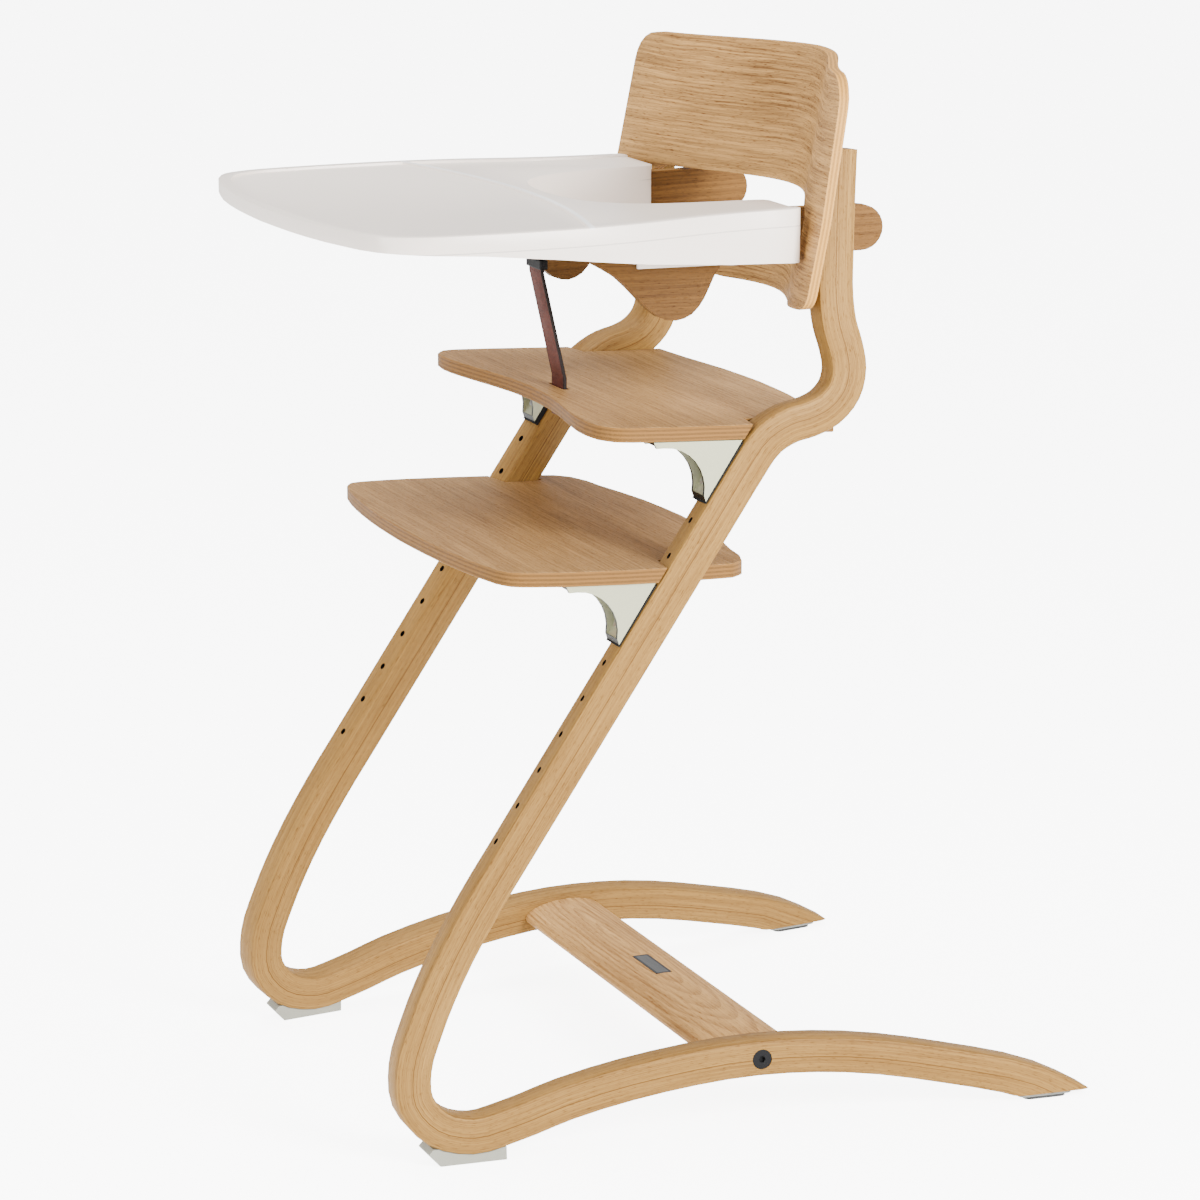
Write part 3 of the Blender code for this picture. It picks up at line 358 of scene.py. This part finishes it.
def leather_finish():
    """Dark brown leather: cells, creases across the strap, and edges painted nearly black."""
    f = Finish("strap_leather")
    place = f.place()
    x, y, z = f.axes(place)
    cells = f.node("ShaderNodeTexVoronoi", {"feature": "DISTANCE_TO_EDGE"}, {"Vector": place, "Scale": 900.0},
                   "Distance")
    crease = f.noise(f.vector(x * 60, y * 60, z * 420), detail=3)
    cloud = f.noise(place, 45.0, 3.0)
    edge = abs(x).above(11.3 * MM, 0.5 * MM)
    tint = f.mix((cloud - 0.5) * 1.4 + (crease - 0.5) * 0.8 + 0.45, (0.105, 0.030, 0.020), (0.040, 0.012, 0.009))
    tint = f.mix(edge, tint, (0.012, 0.008, 0.007))
    height = cells.math("MINIMUM", 0.25) * 2 + crease * 0.5
    return f.done(height, 0.00012, Base_Color=tint, Roughness=0.55 + (cloud - 0.5) * 0.25,
                  Specular_IOR_Level=0.12)


TRAY_TOP = 722 * MM
SINK = 1.9 * MM
RIB_HALF = 2.2 * MM


def rib_y(x):
    """The middle of the rib on the tray's top, at a distance in millimetres from the middle plane."""
    return (155 - 24 * (x / 185) * (x / 185)) * MM


def tray_finish():
    """Warm off-white plastic with a fine moulded grain, a narrow seam round its outer wall, and a paler line along
    the rib on top, which is a painted highlight.
    """
    f = Finish("tray_plastic")
    place = f.place()
    x, y, z = f.axes(place)
    grain = f.noise(place, 1400.0, 2.0)
    cloud = f.noise(place, 9.0, 2.0)
    outside = (y * y + x * x).math("SQRT").above(0.125, 0.004)
    seam = z.line(708.6 * MM, 0.35 * MM) * outside
    rib = y - rib_y(1000 * x) + CHAIR_MIDDLE
    rib = rib.line(0, RIB_HALF) * z.above(TRAY_TOP - 1 * MM, 0.4 * MM)
    tint = f.mix((cloud - 0.5) * 0.9 + 0.5, (0.90, 0.805, 0.72), (0.86, 0.765, 0.68))
    # Painted highlight: the rib on the top gets a paler colour, for the light it catches.
    tint = f.mix(rib, tint, (0.97, 0.955, 0.94))
    tint = f.mix(seam * 0.55, tint, (0.42, 0.39, 0.36))
    rough = 0.34 + (grain - 0.5) * 0.14 + (cloud - 0.5) * 0.06
    return f.done(grain * 0.25 - seam * 2.5, 0.00008, Base_Color=tint, Roughness=rough,
                  Coat_Weight=0.08, Coat_Roughness=0.3)


def floor_finish():
    """A matt, very pale sweep."""
    f = Finish("studio_floor")
    cloud = f.noise(f.place(), 3.0, 2.0)
    tint = f.mix(cloud, (0.93, 0.93, 0.93), (0.95, 0.95, 0.95))
    seen = f.node("ShaderNodeLightPath", {}, {}, "Is Camera Ray")
    return f.done(Base_Color=tint, Roughness=0.9, Emission_Color=(1, 1, 1, 1),
                  Emission_Strength=FLOOR_GIVES + seen * (FLOOR_SHOWS - FLOOR_GIVES))


BADGE_METAL, STRAP_LEATHER, TRAY_PLASTIC = badge_finish(), leather_finish(), tray_finish()
floor.data.materials.append(floor_finish())
print("finishes:", len(bpy.data.materials))

# %% [markdown]
# ## Where the grain runs
# For each wooden piece a small function turns points into `grain` coordinates. A bent bar is measured along
# its centre line, and a point's depth is its distance from the outer face. A frame was drawn flat and turned
# about its leg, which splays its feet, so its points are turned back first.

# %% Lines that the bent pieces follow
LEG_X, LEG_Y, LEG_Z = 172.3 * MM, 58.6 * MM, 248.4 * MM
LEG_ANGLE, SPLAY = math.radians(55.67), math.radians(7.13)
BAR_DEPTH = 29 * MM
FOOT_LINE = ((556, -21), (500, 10.3), (424, 33.4), (340, 51.4), (265, 57.2), (185, 52), (108, 38.5), (62, 25.5),
             (31, 20.2), (3, 29), (-14, 50), (-15, 77), (-5, 108), (13, 148), (43, 199.5), (73.4, 244.3))
POST_LINE = ((283, 547), (301, 556.5), (316, 560), (332, 567), (344, 580), (348.3, 597), (346, 613),
             (341, 631), (338.6, 651), (339.3, 688), (341, 726), (343.4, 765.5))
RAIL_LINE = ((0, 158), (30, 158.3), (58, 160.5), (81, 168), (96, 184), (103, 206),
             (106.8, 231), (112.5, 287), (118.5, 345), (124.8, 409))
LEG_WAY = Vector((0, math.cos(LEG_ANGLE), math.sin(LEG_ANGLE)))


def smooth_line(points, steps=4):
    """A smooth open line through points given in millimetres, returned in metres."""
    knots = [Vector(p) * MM for p in points]
    spans = [b - a for a, b in zip(knots, knots[1:])]
    slopes = [spans[0].normalized()]
    for a, b in zip(spans, spans[1:]):
        slopes.append((a.normalized() * b.length + b.normalized() * a.length) / (a.length + b.length))
    slopes.append(spans[-1].normalized())
    line = []
    for i, span in enumerate(spans):
        reach = span.length / 3
        line += interpolate_bezier(knots[i], knots[i] + slopes[i] * reach,
                                   knots[i + 1] - slopes[i + 1] * reach, knots[i + 1], steps + 1)[:-1]
    return np.array([tuple(p) for p in line + [knots[-1]]])


def along_line(points, line):
    """Distance along a line, and signed distance to its left, of each point, both in one plane."""
    start, span = line[:-1], np.diff(line, axis=0)
    length = np.linalg.norm(span, axis=1)
    run = np.concatenate([[0], np.cumsum(length)])[:-1]
    way = span / length[:, None]
    offset = points[:, None, :] - start[None]
    t = np.einsum("ijk,jk->ij", offset, way)
    held = np.clip(t, 0, length[None])
    miss = np.linalg.norm(offset - held[..., None] * way[None], axis=2)
    pick = np.arange(len(points)), miss.argmin(axis=1)
    left = (way[:, 0] * offset[..., 1] - way[:, 1] * offset[..., 0])[pick]
    return run[pick[1]] + held[pick], left


# %% Grain coordinates for each kind of piece
def frame_grain(side):
    turn = Matrix.Translation((side * LEG_X, LEG_Y - CHAIR_MIDDLE, LEG_Z)) @ Matrix.Rotation(
        -side * SPLAY, 4, LEG_WAY)
    back = np.array(turn.inverted())
    leg_face = 0.5 * BAR_DEPTH
    low, mid, high, top = (((LEG_Y, LEG_Z) + step * HOLE_PITCH * np.array(LEG_WAY[1:])
                            + leg_face * np.array((LEG_WAY[2], -LEG_WAY[1]))) / MM for step in (0.6, 1.4, 10.0, 10.7))
    line = np.concatenate([smooth_line(FOOT_LINE + (low, mid), 3), smooth_line((high, top) + POST_LINE, 3)])
    line -= np.array([LEG_Y, LEG_Z])
    hole_run = along_line(np.array([[0.0, 0.0]]), line)[0][0]

    def grain(points):
        flat = points @ back[:3, :3].T + back[:3, 3]
        run, left = along_line(flat[:, 1:], line)
        left = np.where(abs(left) > leg_face - 0.3 * MM, np.sign(left) * leg_face, left)
        return np.stack([run - hole_run, flat[:, 0], leg_face - left], axis=1)

    return grain


def plate_grain(points):
    """A flat plate tilted back: fibres run along X. The upper plate's wood starts elsewhere on the sheet."""
    rise = points[:, 2] + 0.05 * points[:, 1]
    return np.stack([points[:, 0] + 9 * rise.max(), points[:, 1], rise.max() - rise], axis=1)


def back_grain(points):
    """The dished shell: fibres run round it, and layers lie between its rear and front faces."""
    x, y, z = points[:, 0], points[:, 1] + CHAIR_MIDDLE, points[:, 2]
    rear = 0.346 + 0.0325 * (1 + np.cos(np.pi * x / 0.2)) - (0.824 - z) * 0.175
    return np.stack([x * 1.12, z, np.where(rear - y > 4.2 * MM, 8.5 * MM, 0.0)], axis=1)


def rail_grain(points):
    """The hoop: fibres run round it, and layers lie between its faces."""
    half = smooth_line(RAIL_LINE, 5) - np.array([0, CHAIR_MIDDLE])
    line = np.concatenate([(half * [-1, 1])[::-1][:-1], half])
    run, left = along_line(points[:, :2], line)
    run -= along_line(half[:1], line)[0]
    return np.stack([run, points[:, 2], np.where(left > 0, 10 * MM, 0.0)], axis=1)


def beam_grain(points):
    """Solid wood: fibres run along X."""
    middle = np.array([0, 266.5 * MM - CHAIR_MIDDLE, 56.5 * MM])
    return points - middle


print("grain functions ready")

# %% [markdown]
# ## Wooden pieces
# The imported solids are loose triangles. A copy of each is merged, shaded smooth round its curves, and given its
# grain coordinates. The copy stands for the solid.


# %% Copies that carry grain
def select_only(piece):
    bpy.ops.object.select_all(action="DESELECT")
    piece.select_set(True)
    bpy.context.view_layer.objects.active = piece


def merged_copy(name, node):
    """A merged, smooth-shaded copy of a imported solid."""
    piece = bpy.data.objects.new(name, NODES[node].data.copy())
    bpy.context.collection.objects.link(piece)
    bm = bmesh.new()
    bm.from_mesh(piece.data)
    bmesh.ops.remove_doubles(bm, verts=bm.verts, dist=2e-6)
    bm.to_mesh(piece.data)
    bm.free()
    select_only(piece)
    bpy.ops.mesh.customdata_custom_splitnormals_clear()
    return piece


def smooth_by_angle(piece, angle=35):
    select_only(piece)
    bpy.ops.object.shade_smooth_by_angle(angle=math.radians(angle))


def finished(piece, node, body, material):
    """Gives a piece its material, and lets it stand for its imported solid."""
    piece.data.materials.clear()
    piece.data.materials.append(material)
    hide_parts(node)
    if body:
        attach(piece, body)
    return piece


def wooden(name, node, body, material, grain):
    piece = merged_copy(name, node)
    smooth_by_angle(piece)
    points = np.array([v.co for v in piece.data.vertices])
    layer = piece.data.attributes.new("grain", "FLOAT_VECTOR", "POINT")
    layer.data.foreach_set("vector", grain(points).astype(np.float32).ravel())
    return finished(piece, node, body, material)


for side_name, side in SIDES.items():
    wooden(f"bent_frame_{side_name}", f"frame_{side_name}", "chair",
           FRAME_WOODS[side_name], frame_grain(side))
wooden("seat", "seat_plate", "seat", PLATE_WOOD, plate_grain)
wooden("footrest", "footrest_plate", "footrest", PLATE_WOOD, plate_grain)
wooden("back_shell", "backrest", "chair", BACK_WOOD, back_grain)
wooden("hoop", "safety_bar", "chair", RAIL_WOOD, rail_grain)
wooden("beam", "crossbar", "chair", BEAM_WOOD, beam_grain)

# %% [markdown]
# ## Tray
# The tray's top is sunk twice: a large bay in front, and a shallow one round the cut-out, with a narrow curved
# rib between them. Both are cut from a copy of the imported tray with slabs, and the new edges are rounded.

# %% Slabs that sink the tray's top
def slab(name, outline):
    """A flat slab through the tray's top, from an outline in millimetres drawn as one face and extruded."""
    mesh = bpy.data.meshes.new(name)
    piece = bpy.data.objects.new(name, mesh)
    bpy.context.collection.objects.link(piece)
    mesh.from_pydata([(x, y - CHAIR_MIDDLE, TRAY_TOP - SINK) for x, y in outline], [],
                     [list(range(len(outline)))])
    select_only(piece)
    bpy.ops.object.mode_set(mode="EDIT")
    bpy.ops.mesh.select_all(action="SELECT")
    bpy.ops.mesh.extrude_region_move(TRANSFORM_OT_translate={"value": (0, 0, 0.01)})
    bpy.ops.mesh.select_all(action="SELECT")
    bpy.ops.mesh.normals_make_consistent(inside=False)
    bpy.ops.object.mode_set(mode="OBJECT")
    return piece


rim = smooth_line(((0, -54), (60, -51.5), (118, -44.5), (158, -34), (176, -24), (188, -6), (193, 25),
                   (195, 75), (193, 128), (185, 177), (173, 222), (166, 268), (163, 300), (161, 335)), 4)
front_rim = [tuple(p) for p in rim if p[1] < rib_y(p[0] / MM) - RIB_HALF]
rear_rim = [tuple(p) for p in rim if p[1] > rib_y(p[0] / MM) + RIB_HALF]
edge_x = max(p[0] for p in front_rim)
rib_xs = [x * edge_x / 12 for x in range(12, -13, -1)]
front_bay = [(-x, y) for x, y in reversed(front_rim[1:])] + front_rim
front_bay += [(x * 0.995, rib_y(x / MM) - RIB_HALF) for x in rib_xs]
rear_bay = [(x * 0.993, rib_y(x / MM) + RIB_HALF) for x in reversed(rib_xs)] + rear_rim
rear_bay += [(-x, y) for x, y in reversed(rear_rim)]
bays = [slab("front_bay", front_bay), slab("rear_bay", rear_bay)]
print("bays:", [len(b.data.vertices) for b in bays])


# %% Sink the bays and round their edges
def apply_modifier(piece, kind, **settings):
    """Adds a modifier, sets it and applies it."""
    select_only(piece)
    modifier = piece.modifiers.new(kind.lower(), kind)
    for key, value in settings.items():
        setattr(modifier, key, value)
    bpy.ops.object.modifier_apply(modifier=modifier.name)


tray = merged_copy("tray_top", "tray")
for bay in bays:
    apply_modifier(tray, "BOOLEAN", operation="DIFFERENCE", solver="EXACT", object=bay)
    bpy.data.objects.remove(bay, do_unlink=True)
apply_modifier(tray, "BEVEL", width=0.9 * MM, segments=2, limit_method="ANGLE", angle_limit=math.radians(50))
smooth_by_angle(tray, 40)
finished(tray, "tray", "tray", TRAY_PLASTIC)
print("tray faces:", len(tray.data.polygons))

# %% [markdown]
# ## Strap
# The leather strap is sewn to the safety bar and goes down through the seat. When the seat is lowered, the strap's
# lower end goes with it; here the piece is only cut across at many heights along its length, and it is not blended
# between the two.

# %% Strap
strap = merged_copy("leather_strap", "strap")
select_only(strap)
bpy.ops.object.mode_set(mode="EDIT")
for height in range(550, 705, 6):
    bpy.ops.mesh.select_all(action="SELECT")
    bpy.ops.mesh.bisect(plane_co=(0, 0, height * MM), plane_no=(0, 0, 1))
bpy.ops.object.mode_set(mode="OBJECT")
apply_modifier(strap, "BEVEL", width=0.5 * MM, segments=2, limit_method="ANGLE", angle_limit=math.radians(60))
smooth_by_angle(strap, 40)
finished(strap, "strap", None, STRAP_LEATHER)
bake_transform(strap)
print("strap faces:", len(strap.data.polygons))

# %% [markdown]
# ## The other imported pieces
# Brackets, screws, pads, glides and felts have the right shape already, so they stay as they are and only get
# their finishes. Their smooth shading comes with the model.

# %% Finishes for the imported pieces
by_word = {"_bracket_": CAST_METAL, "_pad_": BLACK_RUBBER, "bolt": BLACK_STEEL, "_screw_": ZINC_STEEL,
           "_nut_": ZINC_STEEL, "strap_clip": BLACK_STEEL, "strap_stud": ZINC_STEEL, "badge": BADGE_METAL,
           "front_glide": GLIDE_PLASTIC, "rear_glide": PAD_PLASTIC, "felt": BLACK_FELT, "tray_clip": TRAY_PLASTIC}
painted = 0
for name, node in NODES.items():
    found = [finish for word, finish in by_word.items() if word in name]
    if found:
        for material_slot in node.material_slots:
            material_slot.material = found[0]
        painted += 1
print("painted packed pieces:", painted)
